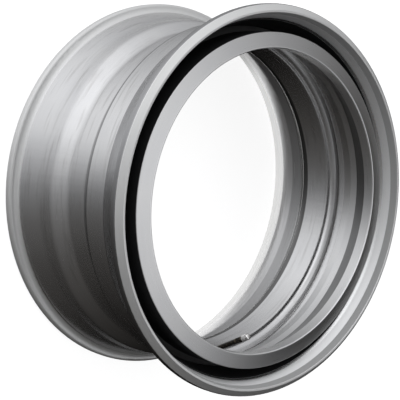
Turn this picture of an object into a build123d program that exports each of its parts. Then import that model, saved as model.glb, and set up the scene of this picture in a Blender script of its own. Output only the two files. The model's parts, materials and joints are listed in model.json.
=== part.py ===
from build123d import *
from math import atan2, cos, pi, radians, sin, tan
import os

# Discless truck rim: a rolled drop-centre hoop with tapered bead seats, a wedge-shaped mounting ring
# welded inside its front, and a clamp-in valve through the front flank of the well.
# Millimetres. The Z axis is the wheel axis, the ring side faces +Z, and the origin is at the middle of
# the hoop. The hoop stands on the flat land of its back lip.

# Bead seats and flanges, the same on both sides
bead_seat_diameter = 571.5
rim_width = 247.65
seat_taper = 15.0
seat_length = 43.8
flange_height = 12.7
flange_top_width = 12.0
lip_reach = 20.2
lip_drop = 10.0
lip_land = 3.5
lip_end_depth = 12.8
lip_end_draft = 10.5
flare_inset = 10.5
wall = 7.5

# Drop-centre well: its depth below the bead seats, and its edges at the ends of the two ledges
well_depth = 30.25
front_ledge_length = 50.2
back_ledge_length = 26.5
front_ledge_taper = 4.55
back_ledge_taper = 5.0
back_flank_angle = 38.5

# Roundings on the tyre side of the hoop
lip_round = 1.2
crown_round = 5.0
seat_fillet = 11.0
front_shoulder_round = 6.0
back_shoulder_round = 60.0
front_edge_round = 3.0
back_edge_round = 14.0
front_floor_fillet = 9.0
back_floor_fillet = 12.0
flare_round = 6.0
least_round = 0.5

# Mounting ring, placed by the end of its foot under the front ledge
ring_foot_setback = 23.8
ring_foot_length = 19.2
ring_foot_flare = 5.0
ring_land_length = 13.5
ring_thickness = 17.6
ring_seat_angle = 28.0
ring_seat_rise = 16.5
ring_bore_length = 19.2
ring_face_width = 24.2
ring_face_tilt = 13.0
ring_heel_length = 13.0
ring_heel_slope = 32.0
ring_edge_round = 1.5
ring_fit_gap = 0.2
weld_leg = 6.0
weld_bulge = 0.8

# Valve, leaning in from the wheel axis, with the front flank of the well square to it
valve_angle = -90.0
valve_lean = 26.5
valve_reach = 117.0
valve_hole_diameter = 9.7
valve_spot_diameter = 15.5
valve_spot_depth = 0.5
valve_gap = 0.1
stem_diameter = 7.9
stem_air_bore = 2.6
stem_head_diameter = 14.0
stem_head_height = 3.0
head_round = 0.8
grommet_diameter = 14.5
grommet_height = 2.5
washer_diameter = 14.5
washer_height = 1.5
nut_across_flats = 12.0
nut_height = 6.0
cap_diameter = 10.2
cap_length = 13.0
cap_end_wall = 2.0
cap_round = 2.5
core_diameter = 4.6
core_waist_diameter = 3.0
core_plug_length = 5.0
core_waist_length = 7.0
core_seal_length = 4.0
core_recess = 2.5
core_pin_diameter = 1.6
core_pin_rise = 2.0

# Radii and heights that follow from the sizes above
seat_radius = bead_seat_diameter / 2
crown_radius = seat_radius + flange_height
half_width = rim_width / 2
lip_height = half_width + lip_reach
lip_outer_radius = crown_radius - lip_drop
lip_inner_radius = lip_outer_radius - lip_land


def tapered(radius, height, taper, new_height):
    """Radius at a new height on a cone line through (radius, height) that opens away from the middle."""
    return radius + (abs(new_height) - abs(height)) * tan(radians(taper))


def offset_corner(before, corner, after, distance):
    """Corner of a line parallel to two legs, at a distance to the right of the way they run."""
    heading_in = atan2(corner[1] - before[1], corner[0] - before[0])
    heading_out = atan2(after[1] - corner[1], after[0] - corner[0])
    reach = distance / cos((heading_out - heading_in) / 2)
    normal = (heading_in + heading_out) / 2 - pi / 2
    return corner[0] + reach * cos(normal), corner[1] + reach * sin(normal)


def turns_left(before, corner, after):
    leg_in = (corner[0] - before[0], corner[1] - before[1])
    leg_out = (after[0] - corner[0], after[1] - corner[1])
    return leg_in[0] * leg_out[1] > leg_in[1] * leg_out[0]


def mirrored(corners):
    """The same corners on the back side, in the opposite order."""
    return [(radius, -height, rounding) for radius, height, rounding in reversed(corners)]


def turned(corners):
    """Solid of revolution about Z from the (radius, height, rounding) corners of its half section."""
    points = [(radius, height) for radius, height, rounding in corners]
    roundings = [rounding for radius, height, rounding in corners]
    outline = Plane.XZ * FilletPolyline(*points, radius=roundings, close=True)
    return revolve(make_face(outline), Axis.Z)


def rod(diameter, start, end):
    """Round bar along Z between two stations."""
    return Pos(0, 0, (start + end) / 2) * Cylinder(diameter / 2, end - start)


# Half section of the hoop: the tyre side of a flange, from its lip to the bead seat
flange_tyre_side = [
    (lip_outer_radius, lip_height, lip_round),
    (crown_radius, half_width + flange_top_width, crown_round),
    (crown_radius, half_width, crown_round),
    (seat_radius, half_width, seat_fillet),
]

# The inner side of a flange, where the bead seat's underside flares out to the end face of the lip
seat_underside = seat_radius - wall / cos(radians(seat_taper))
flare_height = half_width - flare_inset
lip_end_height = lip_height - lip_end_depth
flange_inner_side = [
    (tapered(seat_underside, half_width, seat_taper, flare_height), flare_height, flare_round),
    (lip_inner_radius - lip_end_depth * tan(radians(lip_end_draft)), lip_end_height, lip_round),
    (lip_inner_radius, lip_height, lip_round),
]

# The tyre side of the well, from the front bead seat to the back one
shoulder_height = half_width - seat_length
shoulder_radius = tapered(seat_radius, half_width, seat_taper, shoulder_height)
well_floor_radius = seat_radius - well_depth
well_front_edge = shoulder_height - front_ledge_length
well_back_edge = back_ledge_length - shoulder_height
front_flank_angle = 90 - valve_lean
front_edge_radius = tapered(shoulder_radius, shoulder_height, front_ledge_taper, well_front_edge)
back_edge_radius = tapered(shoulder_radius, shoulder_height, back_ledge_taper, well_back_edge)
front_flank_run = (front_edge_radius - well_floor_radius) / tan(radians(front_flank_angle))
back_flank_run = (back_edge_radius - well_floor_radius) / tan(radians(back_flank_angle))
well_tyre_side = [
    (shoulder_radius, shoulder_height, front_shoulder_round),
    (front_edge_radius, well_front_edge, front_edge_round),
    (well_floor_radius, well_front_edge - front_flank_run, front_floor_fillet),
    (well_floor_radius, well_back_edge + back_flank_run, back_floor_fillet),
    (back_edge_radius, well_back_edge, back_edge_round),
    (shoulder_radius, -shoulder_height, back_shoulder_round),
]


def one_wall_inside(corners, first_seat, last_seat):
    """Inner side of the well: corners one wall inside the tyre side, rounded so that the wall is even."""
    run = [first_seat, *corners, last_seat]
    inner = []
    for before, corner, after in zip(run, run[1:], run[2:]):
        bend = wall if turns_left(before, corner, after) else -wall
        inner.append((*offset_corner(before, corner, after, wall), max(corner[2] + bend, least_round)))
    return inner


well_inner_side = one_wall_inside(well_tyre_side, flange_tyre_side[-1], mirrored(flange_tyre_side)[0])


def ledge_underside(height):
    """Radius of the front ledge's underside."""
    inner_shoulder = shoulder_radius - wall / cos(radians(front_ledge_taper))
    return tapered(inner_shoulder, shoulder_height, front_ledge_taper, height)


# Heights of the mounting ring from the end of its foot to its front edge, and its two inner radii
ring_foot_end = well_front_edge + ring_foot_setback
ring_land_end = ring_foot_end + ring_foot_length
ring_seat_end = ring_land_end + ring_land_length
ring_bore_end = ring_seat_end + ring_seat_rise / tan(radians(ring_seat_angle))
ring_front = ring_bore_end + ring_bore_length
ring_land_radius = ledge_underside(shoulder_height) - ring_thickness
ring_bore_radius = ring_land_radius - ring_seat_rise

# Valve axis: halfway along the stretch of front flank that is flat on both of its sides
flank_foot = well_tyre_side[2]
flank_slope = radians(front_flank_angle)
flank_top = well_inner_side[1]
flat_rise = (flank_top[0] - flank_foot[0]) * sin(flank_slope)
flat_stretch = flat_rise + (flank_top[1] - flank_foot[1]) * cos(flank_slope)
hole_radius = flank_foot[0] + flat_stretch / 2 * sin(flank_slope)
hole_height = flank_foot[1] + flat_stretch / 2 * cos(flank_slope)
valve_turn = radians(valve_angle)
outward = Vector(cos(valve_turn), sin(valve_turn), 0)
valve_plane = Plane(
    origin=outward * hole_radius + Vector(0, 0, hole_height),
    x_dir=(-sin(valve_turn), cos(valve_turn), 0),
    z_dir=outward * -cos(flank_slope) + Vector(0, 0, sin(flank_slope)),
)

# Stations along the valve axis, from the tyre side of the flank
tyre_seat = valve_spot_depth
inner_seat = wall - valve_spot_depth
head_top = tyre_seat - grommet_height
nut_seat = inner_seat + washer_height
cap_end = wall + valve_reach
cap_mouth = cap_end - cap_length
stem_end = cap_end - cap_end_wall - valve_gap
core_top = stem_end - core_recess
core_bottom = core_top - core_plug_length - core_waist_length - core_seal_length


def rim_body():
    tyre_side = [*flange_tyre_side, *well_tyre_side, *mirrored(flange_tyre_side)]
    inner_side = [*mirrored(flange_inner_side), *reversed(well_inner_side), *flange_inner_side]
    hoop = turned([*tyre_side, *inner_side])
    hole = rod(valve_hole_diameter, head_top, nut_seat)
    tyre_spot = rod(valve_spot_diameter, tyre_seat - wall, tyre_seat)
    inner_spot = rod(valve_spot_diameter, inner_seat, inner_seat + wall)
    return hoop - valve_plane * (hole + tyre_spot + inner_spot)


def mounting_ring():
    """Tilted front face, pilot bore, conical seat, land, and a foot that fits under the ledge."""
    back_radius = ring_bore_radius + ring_face_width
    back_front = ring_front - ring_face_width * tan(radians(ring_face_tilt))
    heel_top = ring_foot_end + ring_heel_length
    foot_radius = ledge_underside(ring_foot_end) - ring_fit_gap
    heel_radius = ledge_underside(heel_top) - ring_fit_gap
    back_start = heel_top + (heel_radius - back_radius) / tan(radians(ring_heel_slope))
    return turned([
        (ring_bore_radius, ring_front, ring_edge_round),
        (ring_bore_radius, ring_bore_end, ring_edge_round),
        (ring_land_radius, ring_seat_end, ring_edge_round),
        (ring_land_radius, ring_land_end, ring_edge_round),
        (ring_land_radius + ring_foot_flare, ring_foot_end, ring_edge_round),
        (foot_radius, ring_foot_end, 0),
        (heel_radius, heel_top, ring_edge_round),
        (back_radius, back_start, ring_edge_round),
        (back_radius, back_front, ring_edge_round),
    ])


def ring_weld():
    """Fillet bead between the end of the ring's foot and the underside of the ledge."""
    root = ledge_underside(ring_foot_end) - ring_fit_gap
    toe_height = ring_foot_end - weld_leg
    toe = ledge_underside(toe_height) - ring_fit_gap
    middle = (root - weld_leg + toe) / 2
    bulge = weld_bulge * cos(pi / 4)
    return turned([
        (root, ring_foot_end, 0),
        (toe, toe_height, 0),
        (middle - bulge, ring_foot_end - weld_leg / 2 - bulge, weld_leg / 2),
        (root - weld_leg, ring_foot_end, 0),
    ])


def valve_stem():
    """Headed tube, clamped from the tyre side, with a wider bore for the core at its free end."""
    head = turned([
        (0, head_top - stem_head_height, 0),
        (stem_head_diameter / 2, head_top - stem_head_height, head_round),
        (stem_head_diameter / 2, head_top, 0),
        (0, head_top, 0),
    ])
    shank = rod(stem_diameter, head_top, stem_end)
    shank = chamfer(shank.edges().group_by(Axis.Z)[-1], valve_gap * 5)
    air_bore = rod(stem_air_bore, head_top - stem_head_height, stem_end)
    core_bore = rod(core_diameter + 2 * valve_gap, core_bottom, stem_end)
    return valve_plane * (head + shank - air_bore - core_bore)


def valve_grommet():
    """Rubber seal: a flange under the stem's head and a sleeve through the hole."""
    bore = stem_diameter / 2 + valve_gap
    sleeve = valve_hole_diameter / 2 - valve_gap
    return valve_plane * turned([
        (bore, head_top, 0),
        (grommet_diameter / 2, head_top, 0),
        (grommet_diameter / 2, tyre_seat, 0),
        (sleeve, tyre_seat, 0),
        (sleeve, inner_seat, 0),
        (bore, inner_seat, 0),
    ])


def valve_washer():
    ring = rod(washer_diameter, inner_seat, nut_seat)
    return valve_plane * (ring - rod(stem_diameter + 2 * valve_gap, inner_seat, nut_seat))


def valve_nut():
    """Hexagon nut with its outer corners turned off."""
    nut_top = nut_seat + nut_height
    hexagon = extrude(RegularPolygon(nut_across_flats / 2, 6, major_radius=False), nut_height)
    across_corners = nut_across_flats / cos(pi / 6)
    blank = Pos(0, 0, nut_seat) * hexagon
    turned_corners = turned([
        (0, nut_seat, 0),
        (across_corners / 2, nut_seat, 0),
        (across_corners / 2, nut_top - (across_corners - nut_across_flats) / 2, 0),
        (nut_across_flats / 2, nut_top, 0),
        (0, nut_top, 0),
    ])
    return valve_plane * (blank & turned_corners - rod(stem_diameter + 2 * valve_gap, nut_seat, nut_top))


def valve_core():
    """Turned insert: threaded plug, waist, seal and a spring-loaded pin on top."""
    plug_bottom = core_top - core_plug_length
    seal_top = core_bottom + core_seal_length
    return valve_plane * turned([
        (0, core_bottom, 0),
        (core_waist_diameter / 2, core_bottom, 0),
        (core_diameter / 2, seal_top, 0),
        (core_waist_diameter / 2, seal_top, 0),
        (core_waist_diameter / 2, plug_bottom, 0),
        (core_diameter / 2, plug_bottom, 0),
        (core_diameter / 2, core_top, 0),
        (core_pin_diameter / 2, core_top, 0),
        (core_pin_diameter / 2, core_top + core_pin_rise, 0),
        (0, core_top + core_pin_rise, 0),
    ])


def valve_cap():
    """Screwed dust cap with a domed end."""
    bore = stem_diameter / 2 + valve_gap
    inner_end = cap_end - cap_end_wall
    return valve_plane * turned([
        (bore, cap_mouth, 0),
        (cap_diameter / 2, cap_mouth, valve_gap * 5),
        (cap_diameter / 2, cap_end, cap_round),
        (0, cap_end, 0),
        (0, inner_end, 0),
        (bore, inner_end, 0),
    ])


pieces = {
    "rim_body": rim_body,
    "mounting_ring": mounting_ring,
    "ring_weld": ring_weld,
    "valve_stem": valve_stem,
    "valve_grommet": valve_grommet,
    "valve_washer": valve_washer,
    "valve_nut": valve_nut,
    "valve_core": valve_core,
    "valve_cap": valve_cap,
}

os.makedirs("parts", exist_ok=True)
for name, make in pieces.items():
    solid = make()
    solid.label = name
    export_step(solid, f"parts/{name}.step")
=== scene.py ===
import json
from math import cos, pi, radians, sin, tau

import bpy
from mathutils import Matrix, Vector


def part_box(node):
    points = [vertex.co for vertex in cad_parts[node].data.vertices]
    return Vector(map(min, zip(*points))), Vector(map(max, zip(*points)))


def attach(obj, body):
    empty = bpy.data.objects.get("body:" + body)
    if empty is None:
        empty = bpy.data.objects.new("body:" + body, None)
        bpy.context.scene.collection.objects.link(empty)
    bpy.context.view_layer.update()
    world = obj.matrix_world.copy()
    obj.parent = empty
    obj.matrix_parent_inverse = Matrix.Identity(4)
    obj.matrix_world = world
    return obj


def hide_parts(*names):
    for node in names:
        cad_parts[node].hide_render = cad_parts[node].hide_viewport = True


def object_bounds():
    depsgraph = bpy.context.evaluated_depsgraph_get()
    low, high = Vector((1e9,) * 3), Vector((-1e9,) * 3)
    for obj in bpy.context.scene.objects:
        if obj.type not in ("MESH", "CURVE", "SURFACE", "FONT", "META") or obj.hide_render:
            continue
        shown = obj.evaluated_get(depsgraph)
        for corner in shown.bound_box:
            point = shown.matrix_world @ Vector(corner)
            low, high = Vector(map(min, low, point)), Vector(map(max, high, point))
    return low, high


# Looks of a discless truck rim in bare satin steel, lying on its back lip. Metres, in the frame of the CAD
# part: the wheel axis is Z, the mounting ring faces +Z, and the valve stands at -Y.

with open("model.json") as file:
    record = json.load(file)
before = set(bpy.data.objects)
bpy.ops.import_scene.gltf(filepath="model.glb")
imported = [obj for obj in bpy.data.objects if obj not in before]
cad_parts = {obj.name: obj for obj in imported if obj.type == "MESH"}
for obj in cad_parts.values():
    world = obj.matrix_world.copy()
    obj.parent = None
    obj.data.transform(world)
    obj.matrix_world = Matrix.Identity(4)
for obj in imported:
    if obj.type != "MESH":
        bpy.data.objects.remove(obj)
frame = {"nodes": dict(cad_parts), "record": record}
cad_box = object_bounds()
nodes = frame["nodes"]

# Camera: tilt from the wheel axis, roll, and place along the camera's own right, up and back directions
view_tilt = radians(41.86)
view_roll = radians(9.54)
camera_place = Vector((-0.0180, -0.0113, 2.0066))
lens_mm = 113.2
sensor_mm = 36.0

# Heights and radii of the section that the finishes follow
back_shoulder = -0.080
flank_back = -0.053
flank_front = -0.027
well_front = 0.009
ledge_edge = 0.0285
front_shoulder = 0.0785
seat_front = 0.1362
gutter_bottom = 0.060
gutter_top = 0.1125
flare_top = 0.1312
lip_start = 0.117
lip_top = 0.1425
ring_inner_radius = 0.2324
ring_land_radius = 0.2489
ring_outer_radius = 0.2566
ring_front = 0.1366
seat_bottom = 0.0870
seat_top = 0.1170

# Valve axis: it leans in from the wheel axis, in the plane of the valve
valve_lean = radians(26.5)
valve_direction = Vector((0, sin(valve_lean), cos(valve_lean)))
stem_radius = 0.00395


class Finish:
    """A node material, with short calls for the nodes that the finishes below share."""

    def __init__(self, name):
        self.material = bpy.data.materials.new(name)
        self.material.use_nodes = True
        self.tree = self.material.node_tree
        self.shader = self.tree.nodes["Principled BSDF"]
        self.place = self.add("ShaderNodeTexCoord").outputs["Object"]

    def add(self, kind, **settings):
        node = self.tree.nodes.new(kind)
        for key, value in settings.items():
            setattr(node, key, value)
        return node

    def feed(self, socket, value):
        if isinstance(value, bpy.types.NodeSocket):
            self.tree.links.new(value, socket)
        else:
            socket.default_value = value

    def maths(self, operation, *values):
        node = self.add("ShaderNodeMath", operation=operation)
        for socket, value in zip(node.inputs, values):
            self.feed(socket, value)
        return node.outputs[0]

    def plus(self, first, second):
        return self.maths("ADD", first, second)

    def times(self, first, second):
        return self.maths("MULTIPLY", first, second)

    def polar(self):
        """Radius, height, and the unit direction from the axis, at each point of the surface."""
        split = self.add("ShaderNodeSeparateXYZ")
        self.feed(split.inputs[0], self.place)
        x, y, height = split.outputs
        squares = self.plus(self.times(x, x), self.times(y, y))
        radius = self.maths("SQRT", squares)
        outward = self.add("ShaderNodeCombineXYZ")
        self.feed(outward.inputs[0], self.maths("DIVIDE", x, radius))
        self.feed(outward.inputs[1], self.maths("DIVIDE", y, radius))
        return radius, height, outward.outputs[0]

    def facing(self, outward):
        """How far the surface faces away from the wheel axis, from -1 to 1."""
        normal = self.add("ShaderNodeNewGeometry").outputs["Normal"]
        dot = self.add("ShaderNodeVectorMath", operation="DOT_PRODUCT")
        self.feed(dot.inputs[0], normal)
        self.feed(dot.inputs[1], outward)
        return dot.outputs["Value"]

    def step(self, value, low, high):
        """Smooth rise from 0 at low to 1 at high."""
        node = self.add("ShaderNodeMapRange", interpolation_type="SMOOTHSTEP")
        self.feed(node.inputs["Value"], value)
        node.inputs["From Min"].default_value = low
        node.inputs["From Max"].default_value = high
        return node.outputs["Result"]

    def band(self, value, low, high, edge):
        """1 between two values, falling to 0 within an edge outside them."""
        rise = self.step(value, low - edge, low)
        fall = self.step(value, high + edge, high)
        return self.times(rise, fall)

    def scaled(self, value, low, high):
        """A 0 to 1 value spread between two levels."""
        node = self.add("ShaderNodeMapRange")
        self.feed(node.inputs["Value"], value)
        node.inputs["To Min"].default_value = low
        node.inputs["To Max"].default_value = high
        return node.outputs["Result"]

    def noise(self, vector, scale, detail=4.0, fourth=None):
        node = self.add("ShaderNodeTexNoise", noise_dimensions="3D" if fourth is None else "4D")
        self.feed(node.inputs["Vector"], vector)
        node.inputs["Scale"].default_value = scale
        node.inputs["Detail"].default_value = detail
        if fourth is not None:
            self.feed(node.inputs["W"], fourth)
        return node.outputs["Fac"]

    def blend(self, share, first, second):
        """Mix of two colours."""
        node = self.add("ShaderNodeMix", data_type="RGBA")
        self.feed(node.inputs["Factor"], share)
        self.feed(node.inputs["A"], first)
        self.feed(node.inputs["B"], second)
        return node.outputs["Result"]

    def hoop_marks(self, radius, height, outward, pitch, sweep):
        """Fine marks that run round the wheel axis, as rolling and turning leave them."""
        stretched = self.add("ShaderNodeVectorMath", operation="MULTIPLY_ADD")
        self.feed(stretched.inputs[0], outward)
        stretched.inputs[1].default_value = (sweep, sweep, sweep)
        lift = self.add("ShaderNodeCombineXYZ")
        self.feed(lift.inputs[2], self.maths("DIVIDE", height, pitch))
        self.feed(stretched.inputs[2], lift.outputs[0])
        return self.noise(stretched.outputs[0], 1.0, 5.0, self.maths("DIVIDE", radius, pitch))

    def turned_normal(self, outward, lean=0.0):
        """Normal with no part along the turning round the wheel axis, leaning towards +Z if asked."""
        along = self.add("ShaderNodeVectorMath", operation="CROSS_PRODUCT")
        along.inputs[0].default_value = (0, 0, 1)
        self.feed(along.inputs[1], outward)
        normal = self.add("ShaderNodeNewGeometry").outputs["Normal"]
        stray = self.add("ShaderNodeVectorMath", operation="PROJECT")
        self.feed(stray.inputs[0], normal)
        self.feed(stray.inputs[1], along.outputs[0])
        clean = self.add("ShaderNodeVectorMath", operation="SUBTRACT")
        self.feed(clean.inputs[0], normal)
        self.feed(clean.inputs[1], stray.outputs[0])
        upward = self.add("ShaderNodeCombineXYZ")
        self.feed(upward.inputs[2], lean)
        total = self.add("ShaderNodeVectorMath", operation="ADD")
        self.feed(total.inputs[0], clean.outputs[0])
        self.feed(total.inputs[1], upward.outputs[0])
        unit = self.add("ShaderNodeVectorMath", operation="NORMALIZE")
        self.feed(unit.inputs[0], total.outputs[0])
        return unit.outputs[0]

    def bump(self, height, distance, strength, normal=None):
        node = self.add("ShaderNodeBump")
        if normal is not None:
            self.feed(node.inputs["Normal"], normal)
        self.feed(node.inputs["Height"], height)
        node.inputs["Distance"].default_value = distance
        node.inputs["Strength"].default_value = strength
        self.feed(self.shader.inputs["Normal"], node.outputs["Normal"])

    def brushed_round(self, amount):
        """Gloss drawn out across marks that run round the wheel axis."""
        tangent = self.add("ShaderNodeTangent", direction_type="RADIAL", axis="Z")
        self.feed(self.shader.inputs["Tangent"], tangent.outputs[0])
        self.shader.inputs["Anisotropic"].default_value = amount

    def surface(self, colour, roughness, metallic):
        self.feed(self.shader.inputs["Base Color"], colour)
        self.feed(self.shader.inputs["Roughness"], roughness)
        self.feed(self.shader.inputs["Metallic"], metallic)
        return self.material


# Bands of the hoop's section, in the order their tones are laid on: how much of a tone shows, and the tone.
# The tones are painted light and shade: the lips and the flare are lighter as painted highlight, the other
# bands darker as painted shade, the gutter near black.
rim_tones = [
    # Painted shade: the seat, the line along the ledge edge, the front end of the well, the inner ledge and
    # the inner flank
    ("seat", 0.75, (0.22, 0.22, 0.225)),
    ("edge_line", 0.75, (0.10, 0.10, 0.10)),
    ("well_end", 0.60, (0.16, 0.16, 0.16)),
    ("ledge", 0.60, (0.26, 0.26, 0.26)),
    ("flank", 0.85, (0.05, 0.049, 0.047)),
    # Painted highlight: the light tone of the lips
    ("lip_sheen", 0.75, (0.80, 0.80, 0.79)),
    # Painted highlight: the flare above the gutter
    ("flare", 1.00, (0.84, 0.84, 0.84)),
    # Painted shade: the lip's end, and the gutter painted near black
    ("lip_end", 0.70, (0.34, 0.34, 0.34)),
    ("gutter", 1.00, (0.020, 0.020, 0.021)),
]
rim_roughness = {"gutter": 0.35, "lip_sheen": 0.20, "lip_end": 0.25}
rim_dullness = {"lip_end": 0.75, "back": 0.50, "gutter": 0.70}
back_lip_dullness = 0.42
front_lip_dullness = 0.30
flare_lean = 0.50
lip_end_lean = 0.30
edge_line_width = 0.0045
well_end_gap = 0.003
lip_fade = 0.003
back_fade = 0.010


def rim_bands(finish, height, facing):
    """Masks of the bands along the hoop's section, by name."""
    inside = finish.step(facing, -0.05, -0.2)
    outside = finish.step(facing, 0.05, 0.2)
    limits = {
        "seat": (outside, front_shoulder, seat_front, 0.0006),
        "edge_line": (outside, ledge_edge, ledge_edge + edge_line_width, 0.002),
        "well_end": (outside, well_front, ledge_edge - well_end_gap, 0.003),
        "ledge": (inside, back_shoulder, flank_back, 0.004),
        "flank": (inside, flank_back, flank_front, 0.002),
        "lip_end": (inside, flare_top, lip_top, 0.0006),
        "gutter": (inside, gutter_bottom, gutter_top, 0.0012),
        "flare": (inside, gutter_top, flare_top, 0.001),
    }
    bands = {}
    for name, (side, low, high, edge) in limits.items():
        bands[name] = finish.times(side, finish.band(height, low, high, edge))
    bands["back"] = finish.times(inside, finish.step(height, flank_back, flank_back - back_fade))
    # The lips, which take the light painted highlight tone
    lips = finish.step(finish.maths("ABSOLUTE", height), lip_start, lip_start + lip_fade)
    bands["lip_sheen"] = finish.times(lips, finish.maths("SUBTRACT", 1.0, bands["seat"]))
    return bands


def rim_steel():
    """Satin rolled steel with marks round the hoop, duller bands on its section painted darker or lighter as
    shade and highlight, and painted black shade in the gutter.
    """
    finish = Finish("rim_steel")
    radius, height, outward = finish.polar()
    bands = rim_bands(finish, height, finish.facing(outward))

    fine = finish.hoop_marks(radius, height, outward, 0.0009, 5.0)
    broad = finish.hoop_marks(radius, height, outward, 0.0060, 4.0)
    waves = finish.hoop_marks(radius, height, outward, 0.1200, 26.0)
    clouds = finish.noise(finish.place, 14.0)
    grain = finish.noise(finish.place, 700.0, 2.0)
    clean = finish.blend(clouds, (0.60, 0.60, 0.61, 1), (0.70, 0.695, 0.69, 1))
    streaked = finish.blend(finish.step(broad, 0.50, 0.80), clean, (0.48, 0.475, 0.47, 1))
    colour = finish.blend(finish.scaled(fine, 0.0, 0.25), streaked, (0.44, 0.44, 0.45, 1))
    # Painted light and shade: each band's tone laid over the steel's colour
    for band, share, tone in rim_tones:
        colour = finish.blend(finish.times(bands[band], share), colour, (*tone, 1))

    roughness = finish.plus(finish.scaled(fine, 0.17, 0.29), finish.scaled(broad, -0.04, 0.06))
    for band, added in rim_roughness.items():
        roughness = finish.plus(roughness, finish.times(bands[band], added))

    relief = finish.plus(fine, finish.times(grain, 0.5))
    relief = finish.plus(relief, finish.times(waves, 2.6))
    lean = finish.plus(finish.times(bands["flare"], flare_lean), finish.times(bands["lip_end"], lip_end_lean))
    finish.bump(relief, 0.0002, 0.22, finish.turned_normal(outward, lean))
    finish.brushed_round(0.45)

    front_half = finish.step(height, -0.05, 0.05)
    lip_dullness = finish.scaled(front_half, back_lip_dullness, front_lip_dullness)
    dull = finish.times(bands["lip_sheen"], lip_dullness)
    for band, amount in rim_dullness.items():
        dull = finish.maths("MAXIMUM", dull, finish.times(bands[band], amount))
    return finish.surface(colour, roughness, finish.maths("SUBTRACT", 1.0, dull))


def ring_steel():
    """Turned satin steel with a fine grain on its face, painted shade on the seat, a painted highlight on the
    bore's front edge, and painted black shade on its back in the gutter.
    """
    finish = Finish("ring_steel")
    radius, height, outward = finish.polar()
    facing = finish.facing(outward)
    fine = finish.hoop_marks(radius, height, outward, 0.0007, 2.5)
    grain = finish.noise(finish.place, 900.0, 2.0)
    clouds = finish.noise(finish.place, 16.0)
    clean = finish.blend(clouds, (0.60, 0.60, 0.61, 1), (0.68, 0.675, 0.665, 1))
    grained = finish.blend(finish.scaled(grain, 0.0, 0.4), clean, (0.47, 0.47, 0.475, 1))

    inside = finish.step(facing, -0.3, -0.6)
    # Painted shade: the seat band turned dark grey
    seat = finish.times(inside, finish.band(height, seat_bottom, seat_top, 0.0008))
    # Painted highlight: a light line along the bore's front edge
    near_bore = finish.step(radius, ring_inner_radius + 0.003, ring_inner_radius + 0.001)
    near_face = finish.step(height, ring_front - 0.0035, ring_front - 0.002)
    edge_highlight = finish.times(near_bore, near_face)
    # Painted shade: the ring's back in the gutter, near black
    in_gutter = finish.step(radius, ring_land_radius, ring_outer_radius - 0.001)
    back = finish.times(finish.step(facing, 0.75, 0.9), in_gutter)
    colour = finish.blend(finish.times(seat, 0.85), grained, (0.13, 0.13, 0.13, 1))
    colour = finish.blend(edge_highlight, colour, (0.86, 0.86, 0.86, 1))
    colour = finish.blend(back, colour, (0.012, 0.012, 0.013, 1))

    roughness = finish.plus(finish.scaled(fine, 0.24, 0.34), finish.times(back, 0.3))
    relief = finish.plus(fine, finish.times(grain, 0.6))
    finish.bump(relief, 0.0002, 0.20, finish.turned_normal(outward))
    finish.brushed_round(0.3)
    return finish.surface(colour, roughness, finish.scaled(back, 1.0, 0.3))


def weld_steel():
    finish = Finish("weld_steel")
    spots = finish.noise(finish.place, 240.0, 4.0)
    colour = finish.blend(spots, (0.10, 0.095, 0.09, 1), (0.26, 0.25, 0.24, 1))
    finish.bump(spots, 0.0003, 0.4)
    return finish.surface(colour, finish.scaled(spots, 0.35, 0.6), 0.9)


def dark_brass():
    """Stem painted near black brown, as shade for the dark surroundings it reflects, with worn lighter
    patches.
    """
    finish = Finish("stem_brass")
    wear = finish.noise(finish.place, 160.0, 4.0)
    colour = finish.blend(finish.step(wear, 0.55, 0.75), (0.020, 0.017, 0.014, 1), (0.16, 0.13, 0.09, 1))
    finish.bump(wear, 0.0001, 0.2)
    return finish.surface(colour, finish.scaled(wear, 0.28, 0.45), 0.85)


def plain_metal(name, light, dark, low_roughness, high_roughness):
    finish = Finish(name)
    spots = finish.noise(finish.place, 320.0, 4.0)
    colour = finish.blend(spots, light, dark)
    finish.bump(spots, 0.0001, 0.15)
    return finish.surface(colour, finish.scaled(spots, low_roughness, high_roughness), 1.0)


def seal_rubber():
    finish = Finish("grommet_rubber")
    grain = finish.noise(finish.place, 900.0, 3.0)
    colour = finish.blend(grain, (0.018, 0.018, 0.018, 1), (0.034, 0.033, 0.032, 1))
    finish.bump(grain, 0.0001, 0.3)
    return finish.surface(colour, finish.scaled(grain, 0.6, 0.8), 0.0)


finishes = {
    "rim_steel": rim_steel(),
    "ring_steel": ring_steel(),
    "weld_steel": weld_steel(),
    "stem_brass": dark_brass(),
    "grommet_rubber": seal_rubber(),
    "washer_steel": plain_metal("washer_steel", (0.66, 0.66, 0.64, 1), (0.50, 0.50, 0.49, 1), 0.28, 0.42),
    "nut_brass": plain_metal("nut_brass", (0.58, 0.47, 0.26, 1), (0.42, 0.33, 0.18, 1), 0.30, 0.45),
    "core_brass": plain_metal("core_brass", (0.66, 0.52, 0.28, 1), (0.52, 0.40, 0.20, 1), 0.25, 0.40),
    "cap_plated": plain_metal("cap_plated", (0.88, 0.87, 0.86, 1), (0.74, 0.73, 0.72, 1), 0.12, 0.26),
}
for subpart in frame["record"]["subparts"]:
    node = nodes[subpart["node"]]
    node.data.materials.clear()
    node.data.materials.append(finishes[subpart["material_slot"]])


def add_piece(name, vertices, faces, slot):
    """A smooth mesh piece that rides on the rim and takes a slot's finish."""
    mesh = bpy.data.meshes.new(name)
    mesh.from_pydata(vertices, [], faces)
    mesh.materials.append(finishes[slot])
    mesh.shade_smooth()
    piece = bpy.data.objects.new(name, mesh)
    bpy.context.scene.collection.objects.link(piece)
    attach(piece, "root")
    return piece


def ring_faces(rounds, around, closed):
    """Quads between rounds of vertices, and between the last and first rounds if closed."""
    faces = []
    for row in range(rounds if closed else rounds - 1):
        below = row * around
        above = (row + 1) % rounds * around
        for column in range(around):
            following = (column + 1) % around
            faces.append((below + column, below + following, above + following, above + column))
    return faces


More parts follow.
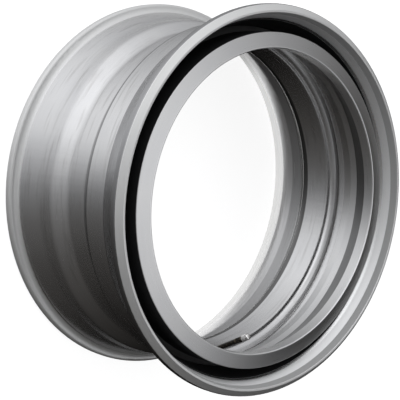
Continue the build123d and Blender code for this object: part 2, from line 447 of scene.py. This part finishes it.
# Weld bead with its ripples, in place of the even fillet
weld_ripple_pitch = 0.0046
weld_ripple_height = 0.0005
weld_steps_per_ripple = 8
weld_rows = 9
weld_bulge = 0.0012
weld_lean = 1.6
weld_toe_slope = radians(4.55)


def weld_bead():
    low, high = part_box("ring_weld")
    root = high.x
    leg = high.z - low.z
    toe = Vector((root - leg * sin(weld_toe_slope), low.z))
    crest = Vector((root - leg, high.z))
    across = Vector((toe.y - crest.y, crest.x - toe.x)).normalized()
    ripples = round(tau * root / weld_ripple_pitch)
    around = ripples * weld_steps_per_ripple
    outline = []
    for row in range(weld_rows):
        share = row / (weld_rows - 1)
        outline.append((toe.lerp(crest, share), sin(pi * share)))
    outline.append((Vector((root, high.z)), 0.0))
    vertices = []
    for point, swell in outline:
        for column in range(around):
            phase = column / weld_steps_per_ripple * tau - weld_lean * swell
            ripple = weld_ripple_height * abs(sin(phase / 2)) * swell
            place = point + across * (weld_bulge * swell + ripple)
            turn = tau * column / around
            vertices.append((place.x * cos(turn), place.x * sin(turn), place.y))
    bead = add_piece("weld_bead", vertices, ring_faces(len(outline), around, True), "weld_steel")
    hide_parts("ring_weld")


# Valve details, along the valve axis
cap_flutes = 32
cap_flute_depth = 0.0004
cap_points_per_flute = 6
thread_pitch = 0.0008
thread_depth = 0.0004
thread_around = 24
thread_steps_per_turn = 6
thread_length = 0.016
thread_sink = 0.00005
cap_bore_gap = 0.0001
cap_bore_depth = 0.84

# Outside of the cap from its mouth: share of its radius, share of its length, and whether flutes cut it
cap_outline = [
    (0.93, 0.0, False), (1.0, 0.05, False), (1.0, 0.10, True), (1.0, 0.58, True), (1.0, 0.66, False),
    (0.88, 0.69, False), (0.88, 0.75, False), (0.97, 0.80, False), (0.92, 0.91, False), (0.70, 0.97, False),
    (0.38, 0.995, False), (0.08, 1.0, False),
]


def along_valve(start):
    """Matrix that stands a piece made along Z on the valve axis, from a point of it."""
    lean = Vector((0, 0, 1)).rotation_difference(valve_direction)
    return Matrix.Translation(start) @ lean.to_matrix().to_4x4()


def middle(node):
    low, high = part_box(node)
    return (low + high) / 2


def reach(node):
    """Lowest and highest distance of a node along the valve axis, from the washer's middle."""
    origin = middle("valve_washer")
    stations = [(vertex.co - origin).dot(valve_direction) for vertex in nodes[node].data.vertices]
    return min(stations), max(stations)


def max_radius(node):
    """Largest distance of a node's vertices from the valve axis."""
    origin = middle("valve_washer")
    return max((vertex.co - origin).cross(valve_direction).length for vertex in nodes[node].data.vertices)


def knurled_cap():
    """Dust cap with flutes along its skirt and a domed end, open at its mouth."""
    mouth, end = reach("valve_cap")
    length = end - mouth
    outer = max_radius("valve_cap")
    bore = stem_radius + cap_bore_gap
    rounds = [(bore, cap_bore_depth, False), (bore, 0.0, False)]
    for radius_share, length_share, fluted in cap_outline:
        rounds.append((outer * radius_share, length_share, fluted))
    around = cap_flutes * cap_points_per_flute
    vertices = []
    for radius, share, fluted in rounds:
        for column in range(around):
            turn = tau * column / around
            groove = cap_flute_depth * fluted * (0.5 - 0.5 * cos(turn * cap_flutes))
            vertices.append(((radius - groove) * cos(turn), (radius - groove) * sin(turn), share * length))
    faces = ring_faces(len(rounds), around, False)
    faces.append(tuple(range((len(rounds) - 1) * around, len(rounds) * around)))
    faces.append(tuple(reversed(range(around))))
    stand = along_valve(middle("valve_washer") + valve_direction * mouth)
    piece = add_piece("knurled_cap", [stand @ Vector(point) for point in vertices], faces, "cap_plated")
    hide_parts("valve_cap")


def stem_thread(name, start):
    """Ridge of the stem's thread, wound round its shank from a distance along the valve axis."""
    turns = round(thread_length / thread_pitch)
    steps = turns * thread_steps_per_turn
    stand = along_valve(middle("valve_washer") + valve_direction * start)
    vertices = []
    for step in range(steps + 1):
        height = step / thread_steps_per_turn * thread_pitch
        run_out = min(1.0, step / thread_steps_per_turn, (steps - step) / thread_steps_per_turn)
        for column in range(thread_around):
            share = column / thread_around
            phase = (step / thread_steps_per_turn - share) % 1.0
            ridge = thread_depth * run_out * (1 - abs(2 * phase - 1))
            radius = stem_radius - thread_sink + ridge
            vertices.append(stand @ Vector((radius * cos(tau * share), radius * sin(tau * share), height)))
    add_piece(name, vertices, ring_faces(steps + 1, thread_around, False), "stem_brass")


weld_bead()
knurled_cap()
stem_thread("stem_thread_nut", reach("valve_nut")[1])
stem_thread("stem_thread_cap", reach("valve_cap")[0] - thread_length)


# Camera
def set_camera():
    turn = Matrix.Rotation(-view_tilt, 3, "Y") @ Matrix.Rotation(view_roll, 3, "Z")
    data = bpy.data.cameras.new("camera")
    data.lens = lens_mm
    data.sensor_width = sensor_mm
    camera = bpy.data.objects.new("camera", data)
    camera.matrix_world = Matrix.Translation(turn @ camera_place) @ turn.to_4x4()
    bpy.context.scene.collection.objects.link(camera)
    bpy.context.scene.camera = camera


# Pale floor under the back lip, seen by the camera and left out of reflections in the steel
floor_half_side = 6.0
floor_tone = 0.45
floor_glow = 0.86


def lay_floor():
    finish = Finish("floor")
    finish.surface((floor_tone, floor_tone, floor_tone, 1), 0.9, 0.0)
    finish.shader.inputs["Emission Color"].default_value = (1, 1, 1, 1)
    finish.shader.inputs["Emission Strength"].default_value = floor_glow
    height = cad_box[0][2]
    side = floor_half_side
    corners = [(-side, -side, height), (side, -side, height), (side, side, height), (-side, side, height)]
    mesh = bpy.data.meshes.new("floor")
    mesh.from_pydata(corners, [], [(0, 1, 2, 3)])
    mesh.materials.append(finish.material)
    floor = bpy.data.objects.new("floor", mesh)
    floor.visible_glossy = False
    floor.visible_diffuse = False
    bpy.context.scene.collection.objects.link(floor)


# Glowing strip and low wall inside the back lip, which the steel reflects in place of the floor
# The camera doesn't see them, and their glow fades towards +Y
glow_inner_radius = 0.268
glow_outer_radius = 0.286
glow_wall_height = 0.026
glow_level = 1.5
glow_wall_level = 0.30
glow_sides = 96
glow_lift = 0.0002
glow_wall_start = 0.0001
glow_wall_full = 0.0005
glow_fade_start = 0.70
glow_fade_end = 0.95
glow_far_share = 0.45


def lay_lip_glow():
    finish = Finish("lip_glow")
    finish.surface((0, 0, 0, 1), 1.0, 0.0)
    finish.shader.inputs["Specular IOR Level"].default_value = 0.0
    finish.shader.inputs["Emission Color"].default_value = (1, 1, 1, 1)
    ground = cad_box[0][2] + glow_lift
    height, outward = finish.polar()[1:]
    wall = finish.step(height, ground + glow_wall_start, ground + glow_wall_full)
    level = finish.scaled(wall, glow_level, glow_wall_level)
    split = finish.add("ShaderNodeSeparateXYZ")
    finish.feed(split.inputs[0], outward)
    far = finish.step(split.outputs["Y"], glow_fade_start, glow_fade_end)
    level = finish.times(level, finish.scaled(far, 1.0, glow_far_share))
    behind = finish.add("ShaderNodeNewGeometry").outputs["Backfacing"]
    level = finish.times(level, finish.scaled(behind, 1.0, 0.0))
    finish.feed(finish.shader.inputs["Emission Strength"], level)
    profile = [
        (glow_outer_radius, ground),
        (glow_inner_radius, ground),
        (glow_inner_radius, ground + glow_wall_height),
    ]
    vertices = []
    for radius, level_height in profile:
        for column in range(glow_sides):
            turn = tau * column / glow_sides
            vertices.append((radius * cos(turn), radius * sin(turn), level_height))
    mesh = bpy.data.meshes.new("lip_glow")
    mesh.from_pydata(vertices, [], ring_faces(len(profile), glow_sides, False))
    mesh.materials.append(finish.material)
    glow = bpy.data.objects.new("lip_glow", mesh)
    glow.visible_camera = False
    glow.visible_diffuse = False
    glow.visible_shadow = False
    bpy.context.scene.collection.objects.link(glow)


# Studio: soft light from the +Y side and from above, dark towards -Y
# Brightness round the horizon, by degrees from +X, and overhead, along a slope that rises to +Y and +X
horizon = [
    (-180, 0.52), (-166, 0.25), (-150, 0.13), (-120, 0.065), (-85, 0.030), (-50, 0.006), (-20, 0.005),
    (0, 0.014), (20, 0.08), (45, 0.42), (80, 0.66), (110, 0.95), (135, 1.16), (160, 1.00), (180, 0.52),
]
overhead = [
    (-1.0, 0.12), (-0.6, 0.18), (-0.35, 0.30), (-0.15, 0.58), (0.05, 0.92),
    (0.2, 1.12), (0.45, 1.00), (0.75, 0.50), (1.0, 0.50),
]
overhead_slope = Vector((0.80, 0.60, 0))
warm_dark = Vector((1.07, 1.00, 0.92))
cool_light = Vector((0.99, 1.00, 1.02))
tint_rate = 5

# Heights of a direction over which the overhead light takes over, and over which the horizon brightens
overhead_start = 0.47
overhead_full = 0.97
gain_start = -0.70
gain_full = 0.40
low_gain = 0.96
high_gain = 1.30


def light_studio():
    world = bpy.data.worlds.new("studio")
    world.use_nodes = True
    tree = world.node_tree
    background = tree.nodes["Background"]
    direction = tree.nodes.new("ShaderNodeTexCoord").outputs["Generated"]
    split = tree.nodes.new("ShaderNodeSeparateXYZ")
    tree.links.new(direction, split.inputs[0])

    def ramp(source, low, high, stops):
        spread = tree.nodes.new("ShaderNodeMapRange")
        spread.inputs["From Min"].default_value = low
        spread.inputs["From Max"].default_value = high
        tree.links.new(source, spread.inputs["Value"])
        node = tree.nodes.new("ShaderNodeValToRGB")
        elements = node.color_ramp.elements
        while len(elements) < len(stops):
            elements.new(0.5)
        for element, (place, level) in zip(elements, stops):
            tint = warm_dark.lerp(cool_light, min(1.0, level * tint_rate))
            element.position = (place - low) / (high - low)
            element.color = (*(tint * level), 1)
        tree.links.new(spread.outputs["Result"], node.inputs["Fac"])
        return node.outputs["Color"]

    turn = tree.nodes.new("ShaderNodeMath")
    turn.operation = "ARCTAN2"
    tree.links.new(split.outputs["Y"], turn.inputs[0])
    tree.links.new(split.outputs["X"], turn.inputs[1])
    around = ramp(turn.outputs[0], -pi, pi, [(radians(degrees), level) for degrees, level in horizon])
    slope = tree.nodes.new("ShaderNodeVectorMath")
    slope.operation = "DOT_PRODUCT"
    slope.inputs[1].default_value = overhead_slope
    tree.links.new(direction, slope.inputs[0])
    above = ramp(slope.outputs["Value"], -1, 1, overhead)
    rise = tree.nodes.new("ShaderNodeMapRange")
    rise.interpolation_type = "SMOOTHSTEP"
    rise.inputs["From Min"].default_value = overhead_start
    rise.inputs["From Max"].default_value = overhead_full
    tree.links.new(split.outputs["Z"], rise.inputs["Value"])
    gain = tree.nodes.new("ShaderNodeMapRange")
    gain.inputs["From Min"].default_value = gain_start
    gain.inputs["From Max"].default_value = gain_full
    gain.inputs["To Min"].default_value = low_gain
    gain.inputs["To Max"].default_value = high_gain
    tree.links.new(split.outputs["Z"], gain.inputs["Value"])
    lifted = tree.nodes.new("ShaderNodeVectorMath")
    lifted.operation = "SCALE"
    tree.links.new(around, lifted.inputs[0])
    tree.links.new(gain.outputs["Result"], lifted.inputs["Scale"])
    mix = tree.nodes.new("ShaderNodeMix")
    mix.data_type = "RGBA"
    tree.links.new(rise.outputs["Result"], mix.inputs["Factor"])
    tree.links.new(lifted.outputs[0], mix.inputs["A"])
    tree.links.new(above, mix.inputs["B"])
    tree.links.new(mix.outputs["Result"], background.inputs["Color"])
    background.inputs["Strength"].default_value = 1.0
    bpy.context.scene.world = world


set_camera()
lay_floor()
lay_lip_glow()
light_studio()
bpy.context.scene.view_settings.view_transform = "Standard"
